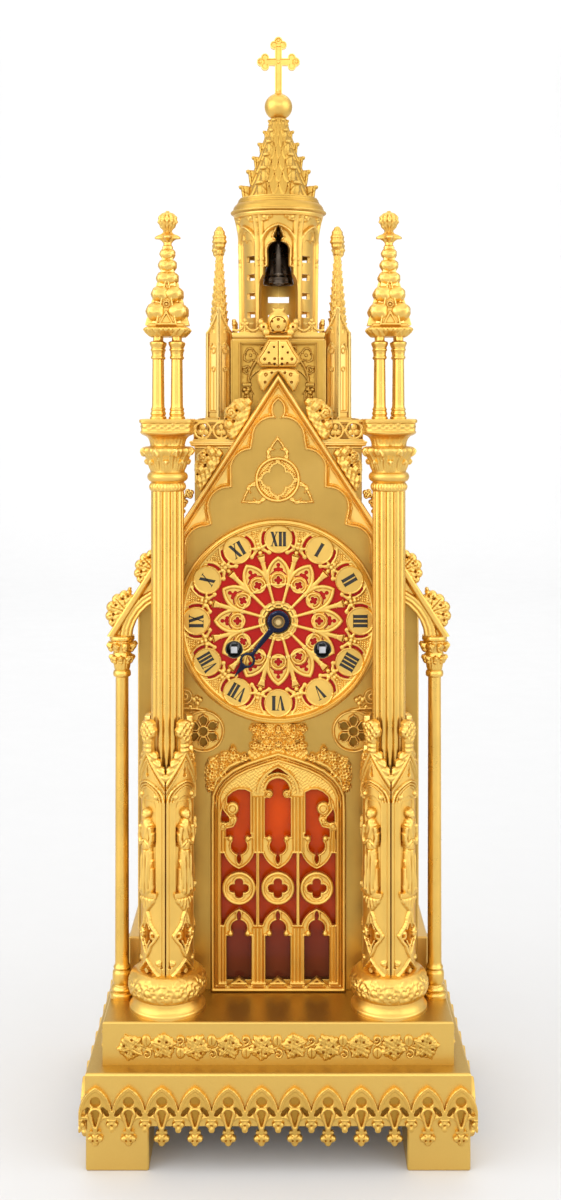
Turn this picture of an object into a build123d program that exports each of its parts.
"""Gilt gothic steeple clock: case, tower, dial and eight-day movement.

Frame: millimetres, origin at the bottom centre, front faces -Y, +Z up.
"""
import os
from math import atan2, cos, degrees, hypot, pi, radians, sin, sqrt

from build123d import *

os.makedirs("parts", exist_ok=True)

# ---------------------------------------------------------------- driving sizes
FOOT_H = 23.0                 # bracket feet
PL_X, PL_Y0, PL_Y1 = 99.5, -72.0, 75.0      # lower plinth half width, front, back
PL_TOP = 50.0
PL_T = 6.0
UP_X, UP_Y0, UP_Y1 = 91.6, -62.0, 65.0      # upper plinth
UP_TOP = 72.3
UP_T = 5.0
RELIEF = 3.0                  # arcade frieze relief
DROP_BIG, DROP_SMALL = 13.2, 19.7           # lowest points of the frieze drops
FRIEZE_TOP = 41.3
ARCHES = 12

FAC_Y0, FAC_Y1 = -20.5, -16.5               # facade plate front and back
BACK_Y0, BACK_Y1 = 50.0, 54.0               # back plate
BODY_X, EAVE_Z = 76.6, 287.0                # body half width, eaves
NAVE_X, NAVE_FOOT, NAVE_TOP = 46.0, 334.1, 370.0
CORNICE_TOP = 374.0
SHEET = 3.0

DIAL_Z = 275.5
DIAL_HOLE = 50.0
BEZEL_R = 56.0
WIND_X, WIND_DZ = 24.2, -15.6
WIND_HOLE = 4.7

PIL_X, PIL_Y = 59.3, -41.0                  # main pillars
DRUM_R = 15.0
SHAFT_R = 8.85
COL_X, COL_Y = 85.0, -29.0                  # thin side columns

TOW_X, TOW_Y0, TOW_Y1 = 26.0, -9.0, 43.0    # tower block
TOW_TOP = 433.0
TOW_CY = 17.0
PIN_X, PIN_YF, PIN_YB = 33.6, -6.0, 40.0    # tower corner pinnacles
LAN_R, LAN_TOP = 22.5, 502.0
CORN_R, CORN_TOP = 27.6, 512.0
SPIRE_TOP = 558.0
BALL_R, BALL_Z = 7.8, 565.0
CROSS_TOP, CROSS_SPAN = 606.0, 12.4

# movement
FP0, FP1 = -12.0, -9.5                      # front movement plate
BP0, BP1 = 24.0, 26.5                       # back movement plate
PLATE_R = 47.0
HAND_DEG = 218.5                            # hour hand, clockwise from XII
PEND_Z = DIAL_Z + 40.29                     # anchor axis and pendulum bend
PEND_Y = 33.0
PEND_L = 190.0


def xz(y):
    """Plane facing the front at depth y; local x = X, local y = Z."""
    return Plane.XZ.offset(-y)


def upright(x, y):
    """Upright plane through (x, y); local x = radius, local y = Z."""
    return Plane(origin=(x, y, 0), x_dir=(1, 0, 0), z_dir=(0, -1, 0))


def vaxis(x, y):
    return Axis((x, y, 0), (0, 0, 1))


def gear(n, m, phase, x0, z0, add=0.60, ded=1.12, root=0.29, tip=0.10):
    """Outline of a clock wheel with n straight-flanked teeth of module m."""
    r = n * m / 2
    p = 2 * pi / n
    pts = []
    for i in range(n):
        c = radians(phase) + i * p
        for rad, off in ((r - ded * m, -root), (r + add * m, -tip),
                         (r + add * m, tip), (r - ded * m, root)):
            pts.append((x0 + rad * cos(c + off * p), z0 + rad * sin(c + off * p)))
    return pts


def bearing(a, b):
    """Angle in degrees from point a to point b in the XZ plane."""
    return degrees(atan2(b[1] - a[1], b[0] - a[0]))


# wheel centres in the XZ plane
C = (0.0, DIAL_Z)
GB = (WIND_X, DIAL_Z + WIND_DZ)
SB = (-WIND_X, DIAL_Z + WIND_DZ)
M1, N_BAR, N_IP = 0.55, 72, 12              # great wheel and intermediate pinion
M2, N_IW, N_CP = 0.50, 60, 10               # intermediate wheel and centre pinion
M3, N_CW, N_TP = 0.32, 96, 8                # centre wheel and third pinion
M4, N_TW, N_EP = 0.30, 80, 7                # third wheel and escape pinion
M5, N_CAN, N_MW = 0.50, 12, 36              # cannon pinion and minute wheel
M6, N_MP, N_HW = 0.48, 10, 40               # minute pinion and hour wheel
d1 = M1 * (N_BAR + N_IP) / 2
d2 = M2 * (N_IW + N_CP) / 2
dd = hypot(GB[0] - C[0], GB[1] - C[1])
aa = (d1 * d1 - d2 * d2 + dd * dd) / (2 * dd)
hh = sqrt(d1 * d1 - aa * aa)
ux, uz = (C[0] - GB[0]) / dd, (C[1] - GB[1]) / dd
I = (GB[0] + aa * ux + hh * uz, GB[1] + aa * uz - hh * ux)      # intermediate arbor
S = (-I[0], I[1])                                               # strike pin wheel
T = (0.0, DIAL_Z + M3 * (N_CW + N_TP) / 2)                      # third arbor
E = (0.0, T[1] + M4 * (N_TW + N_EP) / 2)                        # escape arbor
A = (0.0, PEND_Z)                                               # anchor arbor
MI = (0.0, DIAL_Z - M5 * (N_CAN + N_MW) / 2)                    # minute wheel stud
HM = (-38.0, DIAL_Z + 8.0)                                      # hammer arbor
PILLARS = [(-14.0, DIAL_Z - 42.0), (14.0, DIAL_Z - 42.0), (-26.0, DIAL_Z + 34.0), (26.0, DIAL_Z + 34.0)]
BELL = (14.0, DIAL_Z - 8.0)

# ------------------------------------------------------------------------ base
with BuildPart() as feet:
    with BuildSketch(Plane.XY):
        with Locations((-82.75, PL_Y0 + 16.25), (82.75, PL_Y0 + 16.25),
                       (-82.75, PL_Y1 - 16.25), (82.75, PL_Y1 - 16.25)):
            Rectangle(32.5, 32.5)
    extrude(amount=FOOT_H)
feet.part.label = "feet"
export_step(feet.part, "parts/feet.step")

pl_mid = (PL_Y0 + PL_Y1) / 2
with BuildPart() as lower_plinth:
    with BuildSketch(Plane.XY.offset(FOOT_H)):
        with Locations((0, PL_Y0 + PL_T / 2), (0, PL_Y1 - PL_T / 2)):
            Rectangle(2 * PL_X, PL_T)
        with Locations((-PL_X + PL_T / 2, pl_mid), (PL_X - PL_T / 2, pl_mid)):
            Rectangle(PL_T, PL_Y1 - PL_Y0 - 2 * PL_T - 0.4)
    extrude(amount=PL_TOP - FOOT_H)
lower_plinth.part.label = "lower_plinth"
export_step(lower_plinth.part, "parts/lower_plinth.step")

with BuildPart() as plinth_decks:
    with BuildSketch(Plane.XY.offset(PL_TOP - 4)):
        with Locations((0, PL_Y0 + PL_T + 8), (0, PL_Y1 - PL_T - 8)):
            Rectangle(2 * (PL_X - PL_T), 16)
        with Locations((-85.25, pl_mid), (85.25, pl_mid)):
            Rectangle(16.5, PL_Y1 - PL_Y0 - 2 * PL_T - 32.4)
    extrude(amount=4)
    with BuildSketch(Plane.XY.offset(UP_TOP - 4)):
        with Locations((0, (UP_Y0 + UP_Y1) / 2)):
            Rectangle(2 * (UP_X - UP_T), UP_Y1 - UP_Y0 - 2 * UP_T)
    extrude(amount=4)
plinth_decks.part.label = "plinth_decks"
export_step(plinth_decks.part, "parts/plinth_decks.step")

front_pitch = 2 * (PL_X + RELIEF) / ARCHES
front_pts = [(PL_X + RELIEF, FRIEZE_TOP), (-PL_X - RELIEF, FRIEZE_TOP)]
x = -PL_X - RELIEF
for i in range(ARCHES):
    front_pts += [(x, DROP_SMALL), (x + 1.6, DROP_SMALL), (x + 2.6, 25), (x + front_pitch / 2 - 3, 23.5),
                  (x + front_pitch / 2 - 2, DROP_BIG), (x + front_pitch / 2 + 2, DROP_BIG),
                  (x + front_pitch / 2 + 3, 23.5), (x + front_pitch - 2.6, 25),
                  (x + front_pitch - 1.6, DROP_SMALL)]
    x += front_pitch
front_pts += [(PL_X + RELIEF, DROP_SMALL)]
side_y0 = PL_Y0 + 0.2
side_len = PL_Y1 - 3 - side_y0
side_pitch = side_len / 8
side_pts = [(PL_Y1 - 3, FRIEZE_TOP), (side_y0, FRIEZE_TOP)]
y = side_y0
for i in range(8):
    side_pts += [(y, DROP_SMALL), (y + 1.6, DROP_SMALL), (y + 2.6, 25), (y + side_pitch / 2 - 3, 23.5),
                 (y + side_pitch / 2 - 2, DROP_BIG), (y + side_pitch / 2 + 2, DROP_BIG),
                 (y + side_pitch / 2 + 3, 23.5), (y + side_pitch - 2.6, 25), (y + side_pitch - 1.6, DROP_SMALL)]
    y += side_pitch
side_pts += [(PL_Y1 - 3, DROP_SMALL)]
with BuildPart() as arcade_frieze:
    with BuildSketch(Plane.YZ.offset(PL_X)):
        Polygon(*side_pts, align=None)
    extrude(amount=RELIEF)
    mirror(about=Plane.YZ)
    with BuildSketch(xz(PL_Y0)):
        Polygon(*front_pts, align=None)
    extrude(amount=RELIEF)
arcade_frieze.part.label = "arcade_frieze"
export_step(arcade_frieze.part, "parts/arcade_frieze.step")

up_mid = (UP_Y0 + UP_Y1) / 2
with BuildPart() as upper_plinth:
    with BuildSketch(Plane.XY.offset(PL_TOP)):
        with Locations((0, UP_Y0 + UP_T / 2), (0, UP_Y1 - UP_T / 2)):
            Rectangle(2 * UP_X, UP_T)
        with Locations((-UP_X + UP_T / 2, up_mid), (UP_X - UP_T / 2, up_mid)):
            Rectangle(UP_T, UP_Y1 - UP_Y0 - 2 * UP_T - 0.4)
    extrude(amount=UP_TOP - PL_TOP)
upper_plinth.part.label = "upper_plinth"
export_step(upper_plinth.part, "parts/upper_plinth.step")

with BuildPart() as vine_frieze:
    with BuildSketch(Plane.YZ.offset(UP_X)):
        with Locations((up_mid, 59.5)):
            Rectangle(115, 13)
    extrude(amount=2)
    mirror(about=Plane.YZ)
    with BuildSketch(xz(UP_Y0)):
        with Locations((0, 59.5)):
            Rectangle(171, 13)
    extrude(amount=2)
vine_frieze.part.label = "vine_frieze"
export_step(vine_frieze.part, "parts/vine_frieze.step")

# ------------------------------------------------------------------------ case
with BuildPart() as base_course:
    with BuildSketch(Plane.XY.offset(UP_TOP)):
        with Locations((-BODY_X - 3.2, 19), (BODY_X + 3.2, 19)):
            Rectangle(6.4, 66)
    extrude(amount=26.7)
base_course.part.label = "base_course"
export_step(base_course.part, "parts/base_course.step")

outline = [(-BODY_X, UP_TOP), (BODY_X, UP_TOP), (BODY_X, EAVE_Z), (NAVE_X, NAVE_FOOT), (NAVE_X, NAVE_TOP),
           (-NAVE_X, NAVE_TOP), (-NAVE_X, NAVE_FOOT), (-BODY_X, EAVE_Z)]
with BuildPart() as facade_plate:
    with BuildSketch(xz(FAC_Y1)):
        Polygon(*outline, align=None)
        with Locations((0, DIAL_Z)):
            Circle(DIAL_HOLE, mode=Mode.SUBTRACT)
        Polygon((-32, 78), (32, 78), (32, 165), (0, 202), (-32, 165), align=None, mode=Mode.SUBTRACT)
    extrude(amount=FAC_Y1 - FAC_Y0)
facade_plate.part.label = "facade_plate"
export_step(facade_plate.part, "parts/facade_plate.step")

case_depth = BACK_Y0 - FAC_Y1
with BuildPart() as case_walls:
    with BuildSketch(xz(BACK_Y0)):
        Polygon((BODY_X - SHEET, UP_TOP), (BODY_X, UP_TOP), (BODY_X, 281.3), (BODY_X - SHEET, 281.3), align=None)
        Polygon((NAVE_X - SHEET, 328.6), (NAVE_X, 328.6), (NAVE_X, NAVE_TOP), (NAVE_X - SHEET, NAVE_TOP), align=None)
    extrude(amount=case_depth)
    mirror(about=Plane.YZ)
case_walls.part.label = "case_walls"
export_step(case_walls.part, "parts/case_walls.step")

with BuildPart() as aisle_roofs:
    with BuildSketch(xz(BACK_Y0)):
        Polygon((BODY_X, EAVE_Z), (NAVE_X, NAVE_FOOT), (NAVE_X, NAVE_FOOT - 5.5), (BODY_X, EAVE_Z - 5.5), align=None)
    extrude(amount=case_depth)
    mirror(about=Plane.YZ)
aisle_roofs.part.label = "aisle_roofs"
export_step(aisle_roofs.part, "parts/aisle_roofs.step")

with BuildPart() as nave_cornice:
    with BuildSketch(Plane.XY.offset(NAVE_TOP)):
        with Locations((0, (FAC_Y0 + BACK_Y1) / 2)):
            Rectangle(98, BACK_Y1 - FAC_Y0)
    extrude(amount=CORNICE_TOP - NAVE_TOP)
nave_cornice.part.label = "nave_cornice"
export_step(nave_cornice.part, "parts/nave_cornice.step")

with BuildPart() as balustrade:
    with BuildSketch(Plane.XY.offset(CORNICE_TOP)):
        with Locations((0, -18.5), (0, 52)):
            Rectangle(94, 2)
        with Locations((-46, 16.75), (46, 16.75)):
            Rectangle(2, 68)
    extrude(amount=11.6)
balustrade.part.label = "balustrade"
export_step(balustrade.part, "parts/balustrade.step")

HINGE_X, HINGE_Y = -45.0, 56.3
with BuildPart() as back_plate:
    with BuildSketch(xz(BACK_Y1)):
        Polygon(*outline, align=None)
        Polygon((-40, 95), (40, 95), (40, 285), (20, 318), (-20, 318), (-40, 285), align=None, mode=Mode.SUBTRACT)
    extrude(amount=BACK_Y1 - BACK_Y0)
    for z in (120.0, 270.0):
        with BuildSketch(Plane.XY.offset(z)):
            with Locations((HINGE_X, 55.8)):
                Rectangle(2.8, 3.6)
        extrude(amount=5)
        with BuildSketch(Plane.XY.offset(z + 5)):
            with Locations((HINGE_X, HINGE_Y)):
                Circle(1.2)
        extrude(amount=8)
back_plate.part.label = "back_plate"
export_step(back_plate.part, "parts/back_plate.step")

with BuildPart() as back_door:
    with BuildSketch(xz(56.4)):
        Polygon((-42.4, 91), (43, 91), (43, 287), (22, 321), (-21.6, 321), (-42.4, 287), align=None)
    extrude(amount=2)
    for z in (125.3, 275.3):
        with BuildSketch(Plane.XY.offset(z)):
            with Locations((HINGE_X, HINGE_Y)):
                Circle(2.1)
            with Locations((-43, 55.7)):
                Rectangle(4, 1.4)
            with Locations((HINGE_X, HINGE_Y)):
                Circle(1.25, mode=Mode.SUBTRACT)
        extrude(amount=7)
    with BuildSketch(xz(62.4)):
        with Locations((36, 190)):
            Circle(3)
    extrude(amount=6)
back_door.part.label = "back_door"
export_step(back_door.part, "parts/back_door.step")

# --------------------------------------------------------------------- pillars
with BuildPart() as pillar_bases:
    with BuildSketch(upright(PIL_X, PIL_Y)):
        Polygon((0, UP_TOP), (20, UP_TOP), (20, 78.5), (21.3, 80), (21.3, 87), (17, 91), (0, 91), align=None)
    revolve(axis=vaxis(PIL_X, PIL_Y))
    with BuildSketch(Plane.XY.offset(UP_TOP)):
        with Locations((PIL_X, FAC_Y0 + 5)):
            Rectangle(60, 10)
    extrude(amount=30, mode=Mode.SUBTRACT)
    mirror(about=Plane.YZ)
pillar_bases.part.label = "pillar_bases"
export_step(pillar_bases.part, "parts/pillar_bases.step")

with BuildPart() as pillar_drums:
    with BuildSketch(Plane.XY.offset(91)):
        with Locations((PIL_X, PIL_Y), (-PIL_X, PIL_Y)):
            Circle(DRUM_R)
    extrude(amount=109)
pillar_drums.part.label = "pillar_drums"
export_step(pillar_drums.part, "parts/pillar_drums.step")

with BuildPart() as pillar_shafts:
    with BuildSketch(Plane.XY.offset(200)):
        with Locations((PIL_X, PIL_Y), (-PIL_X, PIL_Y)):
            Circle(SHAFT_R)
    extrude(amount=147)
pillar_shafts.part.label = "pillar_shafts"
export_step(pillar_shafts.part, "parts/pillar_shafts.step")

with BuildPart() as pillar_capitals:
    with BuildSketch(upright(PIL_X, PIL_Y)):
        Polygon((0, 347), (9.5, 347), (10.5, 350), (10.5, 356), (9, 357), (13.5, 368), (13.5, 371), (10.5, 373),
                (13, 375), (0, 375), align=None)
    revolve(axis=vaxis(PIL_X, PIL_Y))
    with BuildSketch(Plane.XY.offset(375)):
        with Locations((PIL_X, PIL_Y)):
            Rectangle(28, 28)
    extrude(amount=11.5)
    mirror(about=Plane.YZ)
pillar_capitals.part.label = "pillar_capitals"
export_step(pillar_capitals.part, "parts/pillar_capitals.step")

with BuildPart() as pinnacle_colonnettes:
    with BuildSketch(Plane.XY.offset(386.5)):
        for sx in (-PIL_X, PIL_X):
            with Locations((sx - 5, PIL_Y - 5), (sx + 5, PIL_Y - 5), (sx - 5, PIL_Y + 5), (sx + 5, PIL_Y + 5)):
                Circle(2.65)
    extrude(amount=43.5)
pinnacle_colonnettes.part.label = "pinnacle_colonnettes"
export_step(pinnacle_colonnettes.part, "parts/pinnacle_colonnettes.step")

with BuildPart() as pinnacle_spires:
    with BuildSketch(Plane.XY.offset(430)):
        with Locations((PIL_X, PIL_Y)):
            Rectangle(25, 25)
    extrude(amount=7)
    with BuildSketch(upright(PIL_X, PIL_Y)):
        Polygon((0, 437), (11, 437), (4, 477), (6, 480), (6, 486), (3, 488), (3.5, 493), (0, 498), align=None)
    revolve(axis=vaxis(PIL_X, PIL_Y))
    mirror(about=Plane.YZ)
pinnacle_spires.part.label = "pinnacle_spires"
export_step(pinnacle_spires.part, "parts/pinnacle_spires.step")

with BuildPart() as side_columns:
    with BuildSketch(upright(COL_X, COL_Y)):
        Polygon((0, UP_TOP), (6.5, UP_TOP), (6.5, 79), (5.2, 82), (5.2, 88), (3.8, 90), (3.5, 249), (5, 250),
                (8.8, 266), (8.8, 269), (0, 269), align=None)
    revolve(axis=vaxis(COL_X, COL_Y))
    mirror(about=Plane.YZ)
side_columns.part.label = "side_columns"
export_step(side_columns.part, "parts/side_columns.step")

with BuildPart() as flying_buttresses:
    with BuildSketch(xz(-28)):
        Polygon((92.7, 269), (62, 317), (62, 296), (72, 287), (78, 278), (79.5, 269), align=None)
    extrude(amount=8)
    with BuildSketch(Plane.XY.offset(260)):
        with Locations((PIL_X, PIL_Y)):
            Circle(SHAFT_R + 0.02)
    extrude(amount=70, mode=Mode.SUBTRACT)
    mirror(about=Plane.YZ)
flying_buttresses.part.label = "flying_buttresses"
export_step(flying_buttresses.part, "parts/flying_buttresses.step")

# ----------------------------------------------------------------------- gable
with BuildPart() as gable_moulding:
    with BuildSketch(xz(FAC_Y0)):
        Polygon((0.1, 408), (2.6, 408), (52, 332), (36.4, 332), (0.1, 387.8), align=None)
        with Locations((21.5, 384.5), (37.4, 360)):
            Circle(7.5)
        with Locations((49, 341)):
            Circle(4)
    extrude(amount=5.5)
    mirror(about=Plane.YZ)
gable_moulding.part.label = "gable_moulding"
export_step(gable_moulding.part, "parts/gable_moulding.step")

with BuildPart() as gable_finial:
    with BuildSketch(upright(0, -23.25)):
        Polygon((0, 408), (2.6, 408), (2.6, 416), (10, 422), (4, 430), (4, 434), (11, 440), (3, 446), (0, 447.7),
                align=None)
    revolve(axis=vaxis(0, -23.25))
gable_finial.part.label = "gable_finial"
export_step(gable_finial.part, "parts/gable_finial.step")

with BuildPart() as rosettes:
    with BuildSketch(xz(FAC_Y0)):
        with Locations((0, 352.8)):
            Circle(13)
        with Locations((-40.6, 216), (40.6, 216)):
            Circle(10.2)
    extrude(amount=3)
rosettes.part.label = "rosettes"
export_step(rosettes.part, "parts/rosettes.step")

with BuildPart() as door_tracery:
    with BuildSketch(xz(FAC_Y0)):
        Polygon((-37.2, UP_TOP), (37.2, UP_TOP), (37.2, 205), (15, 205), (8, 218), (-8, 218), (-15, 205),
                (-37.2, 205), align=None)
        for x0 in (-21.5, 0.0, 21.5):
            Polygon((x0 - 6.6, 78), (x0 + 6.6, 78), (x0 + 6.6, 182), (x0, 194), (x0 - 6.6, 182), align=None,
                    mode=Mode.SUBTRACT)
    extrude(amount=4)
door_tracery.part.label = "door_tracery"
export_step(door_tracery.part, "parts/door_tracery.step")

with BuildPart() as door_panel:
    with BuildSketch(xz(-14.9)):
        with Locations((0, 140)):
            Rectangle(72, 132)
    extrude(amount=1.6)
door_panel.part.label = "door_panel"
export_step(door_panel.part, "parts/door_panel.step")

# ------------------------------------------------------------------------ dial
with BuildPart() as bezel:
    with BuildSketch(xz(FAC_Y0)):
        with Locations((0, DIAL_Z)):
            Circle(BEZEL_R)
            Circle(50.6, mode=Mode.SUBTRACT)
    extrude(amount=7.5)
    chamfer(bezel.faces().sort_by(Axis.Y)[0].edges(), 1.5)
bezel.part.label = "bezel"
export_step(bezel.part, "parts/bezel.step")

with BuildPart() as dial_grille:
    with BuildSketch(xz(-21.7)):
        with Locations((0, DIAL_Z)):
            Circle(50.4)
            Circle(3.5, mode=Mode.SUBTRACT)
        with Locations(GB, SB):
            Circle(WIND_HOLE, mode=Mode.SUBTRACT)
    extrude(amount=1.5)
dial_grille.part.label = "dial_grille"
export_step(dial_grille.part, "parts/dial_grille.step")

with BuildPart() as dial_backing:
    with BuildSketch(xz(-20.0)):
        with Locations((0, DIAL_Z)):
            Circle(49.8)
            Circle(3.5, mode=Mode.SUBTRACT)
        with Locations(GB, SB):
            Circle(WIND_HOLE, mode=Mode.SUBTRACT)
    extrude(amount=1.7)
dial_backing.part.label = "dial_backing"
export_step(dial_backing.part, "parts/dial_backing.step")

# ----------------------------------------------------------------------- tower
with BuildPart() as tower_walls:
    with BuildSketch(Plane.XY.offset(CORNICE_TOP)):
        with Locations((0, TOW_Y0 + 1.25), (0, TOW_Y1 - 1.25)):
            Rectangle(2 * TOW_X, 2.5)
        with Locations((-TOW_X + 1.25, TOW_CY), (TOW_X - 1.25, TOW_CY)):
            Rectangle(2.5, 46.6)
    extrude(amount=56)
    with BuildSketch(Plane.XY.offset(TOW_TOP - 2.8)):
        with Locations((0, TOW_CY)):
            Rectangle(2 * TOW_X, TOW_Y1 - TOW_Y0)
    extrude(amount=2.8)
    with BuildSketch(Plane.XY.offset(TOW_TOP)):
        with Locations((0, TOW_CY)):
            Rectangle(2 * TOW_X, TOW_Y1 - TOW_Y0)
            Rectangle(2 * TOW_X - 3, TOW_Y1 - TOW_Y0 - 3, mode=Mode.SUBTRACT)
    extrude(amount=9)
tower_walls.part.label = "tower_walls"
export_step(tower_walls.part, "parts/tower_walls.step")

with BuildPart() as corner_pinnacles:
    for py in (PIN_YF, PIN_YB):
        with BuildSketch(Plane.XY.offset(CORNICE_TOP)):
            with Locations((PIN_X, py)):
                RegularPolygon(7.3, 4)
        extrude(amount=66)
        with BuildSketch(upright(PIN_X, py)):
            Polygon((0, 440), (5.1, 440), (1.5, 481), (4, 487), (0, 494), align=None)
        revolve(axis=vaxis(PIN_X, py))
    mirror(about=Plane.YZ)
corner_pinnacles.part.label = "corner_pinnacles"
export_step(corner_pinnacles.part, "parts/corner_pinnacles.step")

with BuildPart() as lantern:
    with BuildSketch(upright(0, TOW_CY)):
        Polygon((18.7, TOW_TOP), (LAN_R - 0.8, TOW_TOP), (LAN_R, 492), (25, LAN_TOP), (21, LAN_TOP), (18.7, 492),
                align=None)
    revolve(axis=vaxis(0, TOW_CY))
    with BuildSketch(xz(TOW_CY)):
        Polygon((-8.5, 441), (8.5, 441), (8.5, 484), (0, 497), (-8.5, 484), align=None)
    extrude(amount=40, mode=Mode.SUBTRACT)
lantern.part.label = "lantern"
export_step(lantern.part, "parts/lantern.step")

BELL_PIN_Z = 494.0
with BuildPart() as lantern_cornice:
    with BuildSketch(Plane.XY.offset(LAN_TOP)):
        with Locations((0, TOW_CY)):
            Circle(CORN_R)
    extrude(amount=CORN_TOP - LAN_TOP)
    with BuildSketch(Plane.XY.offset(491)):
        with Locations((-6, TOW_CY), (6, TOW_CY)):
            Rectangle(2, 4)
    extrude(amount=LAN_TOP - 491)
    with BuildSketch(Plane.YZ.offset(-6)):
        with Locations((TOW_CY, BELL_PIN_Z)):
            Circle(1.2)
    extrude(amount=12)
lantern_cornice.part.label = "lantern_cornice"
export_step(lantern_cornice.part, "parts/lantern_cornice.step")

with BuildPart() as spire:
    with BuildSketch(upright(0, TOW_CY)):
        Polygon((0, CORN_TOP), (22, CORN_TOP), (4.5, SPIRE_TOP), (0, SPIRE_TOP), align=None)
    revolve(axis=vaxis(0, TOW_CY))
spire.part.label = "spire"
export_step(spire.part, "parts/spire.step")

with BuildPart() as spire_finial:
    with Locations((0, TOW_CY, BALL_Z)):
        Sphere(BALL_R)
    with BuildSketch(Plane.XY.offset(BALL_Z - 20)):
        with Locations((0, TOW_CY)):
            Rectangle(40, 40)
    extrude(amount=20 - (BALL_Z - SPIRE_TOP), mode=Mode.SUBTRACT)
    with BuildSketch(xz(TOW_CY + 1.6)):
        Polygon((-1.8, 571), (1.8, 571), (1.8, 589), (CROSS_SPAN, 589), (CROSS_SPAN, 593.6), (1.8, 593.6),
                (1.8, CROSS_TOP), (-1.8, CROSS_TOP), (-1.8, 593.6), (-CROSS_SPAN, 593.6), (-CROSS_SPAN, 589),
                (-1.8, 589), align=None)
    extrude(amount=3.2)
spire_finial.part.label = "spire_finial"
export_step(spire_finial.part, "parts/spire_finial.step")

with BuildPart() as tower_bell:
    with BuildSketch(upright(0, TOW_CY)):
        Polygon((8.9, 463), (7.5, 468), (6, 478), (5, 486), (2, 490.5), (0, 491), (0, 488.5), (3.8, 485), (4.8, 478),
                (6.2, 468), (7.4, 463), align=None)
    revolve(axis=vaxis(0, TOW_CY))
    with BuildSketch(Plane.YZ.offset(-1.5)):
        with Locations((TOW_CY, BELL_PIN_Z)):
            Circle(3.4)
            Circle(1.25, mode=Mode.SUBTRACT)
    extrude(amount=3)
tower_bell.part.label = "tower_bell"
export_step(tower_bell.part, "parts/tower_bell.step")

# -------------------------------------------------------------------- movement
with BuildPart() as movement_seat:
    with BuildSketch(xz(FP0)):
        with Locations((0, DIAL_Z)):
            Circle(49.7)
            Circle(44, mode=Mode.SUBTRACT)
    extrude(amount=FP0 + 20.0)
movement_seat.part.label = "movement_seat"
export_step(movement_seat.part, "parts/movement_seat.step")

with BuildPart() as movement_plates:
    with BuildSketch(xz(FP1)):
        with Locations((0, DIAL_Z)):
            RegularPolygon(PLATE_R, 48)
            RegularPolygon(1.45, 24, major_radius=False, mode=Mode.SUBTRACT)
        with Locations(GB, SB):
            RegularPolygon(2.05, 24, major_radius=False, mode=Mode.SUBTRACT)
        with Locations(I, S, T, E, A, HM):
            RegularPolygon(0.65, 24, major_radius=False, mode=Mode.SUBTRACT)
    extrude(amount=FP1 - FP0)
    with BuildSketch(xz(FP0)):
        with Locations(MI):
            RegularPolygon(1.2, 24)
    extrude(amount=7.2)
    with BuildSketch(xz(BP1)):
        with Locations((0, DIAL_Z)):
            RegularPolygon(PLATE_R, 48)
        with Locations(C, I, S, T, E):
            RegularPolygon(0.65, 24, major_radius=False, mode=Mode.SUBTRACT)
        with Locations(GB, SB, HM):
            RegularPolygon(1.25, 24, major_radius=False, mode=Mode.SUBTRACT)
        with Locations(A):
            RegularPolygon(0.95, 24, major_radius=False, mode=Mode.SUBTRACT)
    extrude(amount=BP1 - BP0)
movement_plates.part.label = "movement_plates"
export_step(movement_plates.part, "parts/movement_plates.step")

with BuildPart() as movement_pillars:
    with BuildSketch(xz(BP0)):
        with Locations(*PILLARS):
            RegularPolygon(2.5, 24)
    extrude(amount=BP0 - FP1)
movement_pillars.part.label = "movement_pillars"
export_step(movement_pillars.part, "parts/movement_pillars.step")

with BuildPart() as suspension_cock:
    with BuildSketch(xz(37)):
        Polygon((-6, PEND_Z + 2.6), (6, PEND_Z + 2.6), (6, PEND_Z + 5), (4, PEND_Z + 9), (-4, PEND_Z + 9),
                (-6, PEND_Z + 5), align=None)
    extrude(amount=37 - BP1)
suspension_cock.part.label = "suspension_cock"
export_step(suspension_cock.part, "parts/suspension_cock.step")

with BuildPart() as strike_bell:
    with BuildSketch(Plane(origin=(BELL[0], 0, BELL[1]), x_dir=(1, 0, 0), z_dir=(0, 0, 1))):
        Polygon((0, 47.5), (12, 46.5), (21, 43.5), (27, 39.5), (29, 37.5), (27.2, 37.5), (25.4, 39), (20, 42),
                (11.5, 44.8), (0, 45.7), align=None)
    revolve(axis=Axis((BELL[0], 0, BELL[1]), (0, 1, 0)))
strike_bell.part.label = "strike_bell"
export_step(strike_bell.part, "parts/strike_bell.step")

with BuildPart() as bell_stand:
    with BuildSketch(xz(45.5)):
        with Locations(BELL):
            Circle(2.5)
    extrude(amount=45.5 - BP1)
bell_stand.part.label = "bell_stand"
export_step(bell_stand.part, "parts/bell_stand.step")

# barrels with their great wheels, and the winding arbors that run through them
phase_gb = bearing(GB, I)
with BuildPart() as going_barrel:
    with BuildSketch(xz(21)):
        Polygon(*gear(N_BAR, M1, phase_gb, *GB), align=None)
        with Locations(GB):
            RegularPolygon(2.05, 24, major_radius=False, mode=Mode.SUBTRACT)
    extrude(amount=2)
    with BuildSketch(xz(19)):
        with Locations(GB):
            RegularPolygon(18, 48)
            RegularPolygon(2.05, 24, major_radius=False, mode=Mode.SUBTRACT)
    extrude(amount=14)
going_barrel.part.label = "going_barrel"
export_step(going_barrel.part, "parts/going_barrel.step")

phase_sb = bearing(SB, S)
with BuildPart() as strike_barrel:
    with BuildSketch(xz(21)):
        Polygon(*gear(N_BAR, M1, phase_sb, *SB), align=None)
        with Locations(SB):
            RegularPolygon(2.05, 24, major_radius=False, mode=Mode.SUBTRACT)
    extrude(amount=2)
    with BuildSketch(xz(19)):
        with Locations(SB):
            RegularPolygon(18, 48)
            RegularPolygon(2.05, 24, major_radius=False, mode=Mode.SUBTRACT)
    extrude(amount=14)
strike_barrel.part.label = "strike_barrel"
export_step(strike_barrel.part, "parts/strike_barrel.step")

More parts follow.
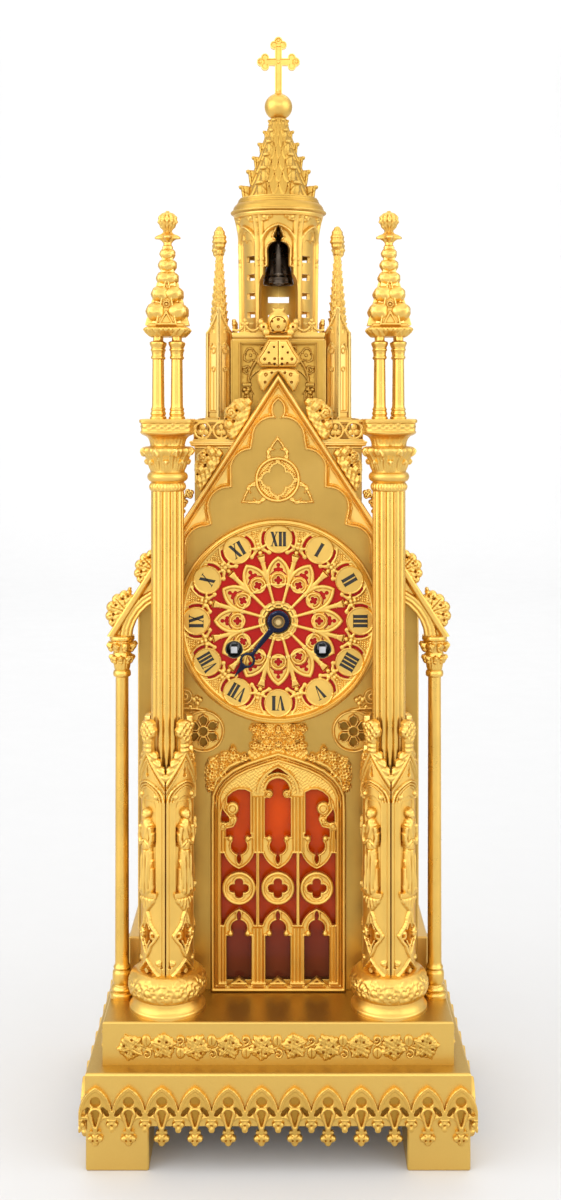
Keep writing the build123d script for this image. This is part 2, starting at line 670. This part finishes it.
with BuildPart() as going_winding_arbor:
    with BuildSketch(xz(23.7)):
        with Locations(GB):
            RegularPolygon(2.0, 24)
    extrude(amount=23.7 + 12.6)
    with BuildSketch(xz(26.4)):
        with Locations(GB):
            RegularPolygon(1.2, 24)
    extrude(amount=2.8)
    with BuildSketch(xz(-12.6)):
        with Locations(GB):
            Rectangle(3.5, 3.5)
    extrude(amount=11.6)
    with BuildSketch(xz(-12.6)):
        Polygon(*gear(24, 0.5, 0, *GB), align=None)
    extrude(amount=1.4)
going_winding_arbor.part.label = "going_winding_arbor"
export_step(going_winding_arbor.part, "parts/going_winding_arbor.step")

with BuildPart() as strike_winding_arbor:
    with BuildSketch(xz(23.7)):
        with Locations(SB):
            RegularPolygon(2.0, 24)
    extrude(amount=23.7 + 12.6)
    with BuildSketch(xz(26.4)):
        with Locations(SB):
            RegularPolygon(1.2, 24)
    extrude(amount=2.8)
    with BuildSketch(xz(-12.6)):
        with Locations(SB):
            Rectangle(3.5, 3.5)
    extrude(amount=11.6)
    with BuildSketch(xz(-12.6)):
        Polygon(*gear(24, 0.5, 0, *SB), align=None)
    extrude(amount=1.4)
strike_winding_arbor.part.label = "strike_winding_arbor"
export_step(strike_winding_arbor.part, "parts/strike_winding_arbor.step")

# going train
with BuildPart() as intermediate_wheel:
    with BuildSketch(xz(23.7)):
        with Locations(I):
            Circle(1.2)
    extrude(amount=23.7 + 9.2)
    with BuildSketch(xz(26.3)):
        with Locations(I):
            Circle(0.6)
    extrude(amount=26.3 + 11.8)
    with BuildSketch(xz(21.4)):
        Polygon(*gear(N_IP, M1, bearing(I, GB) + 180 / N_IP, *I), align=None)
    extrude(amount=2.8)
    with BuildSketch(xz(-6.7)):
        Polygon(*gear(N_IW, M2, bearing(I, C), *I), align=None)
    extrude(amount=1.5)
intermediate_wheel.part.label = "intermediate_wheel"
export_step(intermediate_wheel.part, "parts/intermediate_wheel.step")

with BuildPart() as centre_wheel:
    with BuildSketch(xz(23.7)):
        with Locations(C):
            Circle(1.4)
    extrude(amount=23.7 + 27.4)
    with BuildSketch(xz(26.3)):
        with Locations(C):
            Circle(0.6)
    extrude(amount=2.8)
    with BuildSketch(xz(-6.2)):
        Polygon(*gear(N_CP, M2, bearing(C, I) + 180 / N_CP, *C), align=None)
    extrude(amount=2.5)
    with BuildSketch(xz(-0.8)):
        Polygon(*gear(N_CW, M3, bearing(C, T), *C), align=None)
    extrude(amount=1.2)
centre_wheel.part.label = "centre_wheel"
export_step(centre_wheel.part, "parts/centre_wheel.step")

with BuildPart() as cannon_pinion:
    with BuildSketch(xz(-13.2)):
        with Locations(C):
            RegularPolygon(2.2, 24)
            RegularPolygon(1.42, 24, major_radius=False, mode=Mode.SUBTRACT)
    extrude(amount=13.6)
    with BuildSketch(xz(-13.3)):
        Polygon(*gear(N_CAN, M5, bearing(C, MI), *C), align=None)
        with Locations(C):
            RegularPolygon(1.42, 24, major_radius=False, mode=Mode.SUBTRACT)
    extrude(amount=2.0)
cannon_pinion.part.label = "cannon_pinion"
export_step(cannon_pinion.part, "parts/cannon_pinion.step")

with BuildPart() as minute_wheel:
    with BuildSketch(xz(-13.3)):
        Polygon(*gear(N_MW, M5, bearing(MI, C) + 180 / N_MW, *MI), align=None)
        with Locations(MI):
            Circle(1.27, mode=Mode.SUBTRACT)
    extrude(amount=2.0)
    with BuildSketch(xz(-15.3)):
        Polygon(*gear(N_MP, M6, bearing(MI, C), *MI), align=None)
        with Locations(MI):
            Circle(1.27, mode=Mode.SUBTRACT)
    extrude(amount=3.3)
minute_wheel.part.label = "minute_wheel"
export_step(minute_wheel.part, "parts/minute_wheel.step")

with BuildPart() as hour_wheel:
    with BuildSketch(xz(-16.4)):
        Polygon(*gear(N_HW, M6, bearing(C, MI) + 180 / N_HW, *C), align=None)
        with Locations(C):
            RegularPolygon(2.25, 24, major_radius=False, mode=Mode.SUBTRACT)
    extrude(amount=2.0)
    with BuildSketch(xz(-18.4)):
        with Locations(C):
            RegularPolygon(3.05, 24)
            RegularPolygon(2.25, 24, major_radius=False, mode=Mode.SUBTRACT)
    extrude(amount=7.2)
hour_wheel.part.label = "hour_wheel"
export_step(hour_wheel.part, "parts/hour_wheel.step")

hx, hz = sin(radians(HAND_DEG)), cos(radians(HAND_DEG))


def hand(r, w):
    """Point on the hour hand, r along it and w to its side."""
    return (C[0] + r * hx + w * hz, C[1] + r * hz - w * hx)


with BuildPart() as hour_hand:
    with BuildSketch(xz(-24.6)):
        Polygon(hand(4, 1.6), hand(22, 0.8), hand(23.5, 3.2), hand(27, 4.2), hand(30.5, 3.2), hand(32, 0.8),
                hand(38.5, 0.2), hand(38.5, -0.2), hand(32, -0.8), hand(30.5, -3.2), hand(27, -4.2),
                hand(23.5, -3.2), hand(22, -0.8), hand(4, -1.6), align=None)
        with Locations(C):
            RegularPolygon(6.1, 32)
            RegularPolygon(3.08, 24, major_radius=False, mode=Mode.SUBTRACT)
    extrude(amount=1.0)
hour_hand.part.label = "hour_hand"
export_step(hour_hand.part, "parts/hour_hand.step")

with BuildPart() as third_wheel:
    with BuildSketch(xz(23.7)):
        with Locations(T):
            Circle(0.95)
    extrude(amount=23.7 + 9.2)
    with BuildSketch(xz(26.3)):
        with Locations(T):
            Circle(0.6)
    extrude(amount=26.3 + 11.8)
    with BuildSketch(xz(-0.2)):
        Polygon(*gear(N_TP, M3, bearing(T, C) + 180 / N_TP, *T), align=None)
    extrude(amount=2.4)
    with BuildSketch(xz(11.1)):
        Polygon(*gear(N_TW, M4, bearing(T, E), *T), align=None)
    extrude(amount=1.2)
third_wheel.part.label = "third_wheel"
export_step(third_wheel.part, "parts/third_wheel.step")

ESC_R, ESC_N = 7.5, 30
esc_pts = []
for i in range(ESC_N):
    c = 2 * pi * i / ESC_N
    p = 2 * pi / ESC_N
    for rad, off in ((6.2, 0.0), (ESC_R, 0.42), (ESC_R, 0.5), (6.2, 0.62)):
        esc_pts.append((E[0] + rad * cos(c + off * p), E[1] + rad * sin(c + off * p)))
with BuildPart() as escape_wheel:
    with BuildSketch(xz(23.7)):
        with Locations(E):
            Circle(0.7)
    extrude(amount=23.7 + 9.2)
    with BuildSketch(xz(26.3)):
        with Locations(E):
            Circle(0.6)
    extrude(amount=26.3 + 11.8)
    with BuildSketch(xz(11.7)):
        Polygon(*gear(N_EP, M4, bearing(E, T) + 180 / N_EP, *E), align=None)
    extrude(amount=2.4)
    with BuildSketch(xz(18.8)):
        Polygon(*esc_pts, align=None)
    extrude(amount=0.8)
escape_wheel.part.label = "escape_wheel"
export_step(escape_wheel.part, "parts/escape_wheel.step")

with BuildPart() as anchor:
    with BuildSketch(xz(29.0)):
        with Locations(A):
            Circle(0.9)
    extrude(amount=29.0 + 9.2)
    with BuildSketch(xz(-9.2)):
        with Locations(A):
            Circle(0.6)
    extrude(amount=2.6)
    with BuildSketch(xz(19.1)):
        Polygon(*[(A[0] + px, A[1] + pz) for px, pz in (
            (0, 2), (-4, 0.5), (-8.2, -4.8), (-8.4, -6.2), (-6.9, -5.9), (-5.2, -2.6), (-2.2, -1.6), (2.2, -1.6),
            (5.2, -2.6), (6.9, -5.9), (8.4, -6.2), (8.2, -4.8), (4, 0.5))], align=None)
    extrude(amount=1.4)
    with BuildSketch(xz(29.0)):
        Polygon((-1.6, PEND_Z + 1.6), (1.6, PEND_Z + 1.6), (1.6, PEND_Z - 27), (3.4, PEND_Z - 27.5),
                (3.4, PEND_Z - 31), (-3.4, PEND_Z - 31), (-3.4, PEND_Z - 27.5), (-1.6, PEND_Z - 27), align=None)
    extrude(amount=1.3)
    with BuildSketch(xz(36.0)):
        with Locations((-2.8, PEND_Z - 29.5), (2.8, PEND_Z - 29.5)):
            Rectangle(1.2, 2.6)
    extrude(amount=7.5)
anchor.part.label = "anchor"
export_step(anchor.part, "parts/anchor.step")

with BuildPart() as pendulum_rod:
    with BuildSketch(Plane.XY.offset(PEND_Z - PEND_L - 27)):
        with Locations((0, PEND_Y)):
            RegularPolygon(1.2, 24)
    extrude(amount=PEND_L + 20)
    with BuildSketch(Plane.XY.offset(PEND_Z - 8)):
        with Locations((0, PEND_Y)):
            Rectangle(4, 0.4)
    extrude(amount=10.2)
    with BuildSketch(Plane.XY.offset(PEND_Z - PEND_L - 25)):
        with Locations((0, PEND_Y)):
            RegularPolygon(4, 24)
    extrude(amount=3)
pendulum_rod.part.label = "pendulum_rod"
export_step(pendulum_rod.part, "parts/pendulum_rod.step")

with BuildPart() as pendulum_bob:
    with BuildSketch(Plane(origin=(0, PEND_Y, PEND_Z - PEND_L), x_dir=(1, 0, 0), z_dir=(0, 0, 1))):
        Polygon((0, -4.5), (10, -3.9), (17, -2.0), (19, -0.8), (19, 0.8), (17, 2.0), (10, 3.9), (0, 4.5), align=None)
    revolve(axis=Axis((0, PEND_Y, PEND_Z - PEND_L), (0, 1, 0)))
    with BuildSketch(Plane.XY.offset(PEND_Z - PEND_L - 30)):
        with Locations((0, PEND_Y)):
            RegularPolygon(1.22, 24, major_radius=False)
    extrude(amount=60, mode=Mode.SUBTRACT)
pendulum_bob.part.label = "pendulum_bob"
export_step(pendulum_bob.part, "parts/pendulum_bob.step")

# strike side
with BuildPart() as strike_pin_wheel:
    with BuildSketch(xz(23.7)):
        with Locations(S):
            Circle(1.2)
    extrude(amount=23.7 + 9.2)
    with BuildSketch(xz(26.3)):
        with Locations(S):
            Circle(0.6)
    extrude(amount=26.3 + 11.8)
    with BuildSketch(xz(21.4)):
        Polygon(*gear(N_IP, M1, bearing(S, SB) + 180 / N_IP, *S), align=None)
    extrude(amount=2.8)
    with BuildSketch(xz(2.9)):
        Polygon(*gear(N_IW, M2, 0, *S), align=None)
    extrude(amount=1.3)
    with BuildSketch(xz(4.3)):
        with Locations(*[(S[0] + 11 * cos(k * pi / 4), S[1] + 11 * sin(k * pi / 4)) for k in range(8)]):
            RegularPolygon(0.5, 12)
    extrude(amount=1.4)
strike_pin_wheel.part.label = "strike_pin_wheel"
export_step(strike_pin_wheel.part, "parts/strike_pin_wheel.step")

with BuildPart() as hammer:
    with BuildSketch(xz(41.0)):
        with Locations(HM):
            Circle(1.2)
    extrude(amount=41.0 + 9.2)
    with BuildSketch(xz(-9.2)):
        with Locations(HM):
            Circle(0.6)
    extrude(amount=2.6)
    with BuildSketch(xz(41.0)):
        Polygon((HM[0] - 2, HM[1]), (HM[0] + 1.3, HM[1] + 1.6), (-20, DIAL_Z - 6.8), (-20, DIAL_Z - 9.6), align=None)
    extrude(amount=2)
    with BuildSketch(xz(42.5)):
        Polygon((-22.5, DIAL_Z - 11), (-16.6, DIAL_Z - 11), (-16.6, DIAL_Z - 5), (-22.5, DIAL_Z - 5), align=None)
    extrude(amount=5)
hammer.part.label = "hammer"
export_step(hammer.part, "parts/hammer.step")
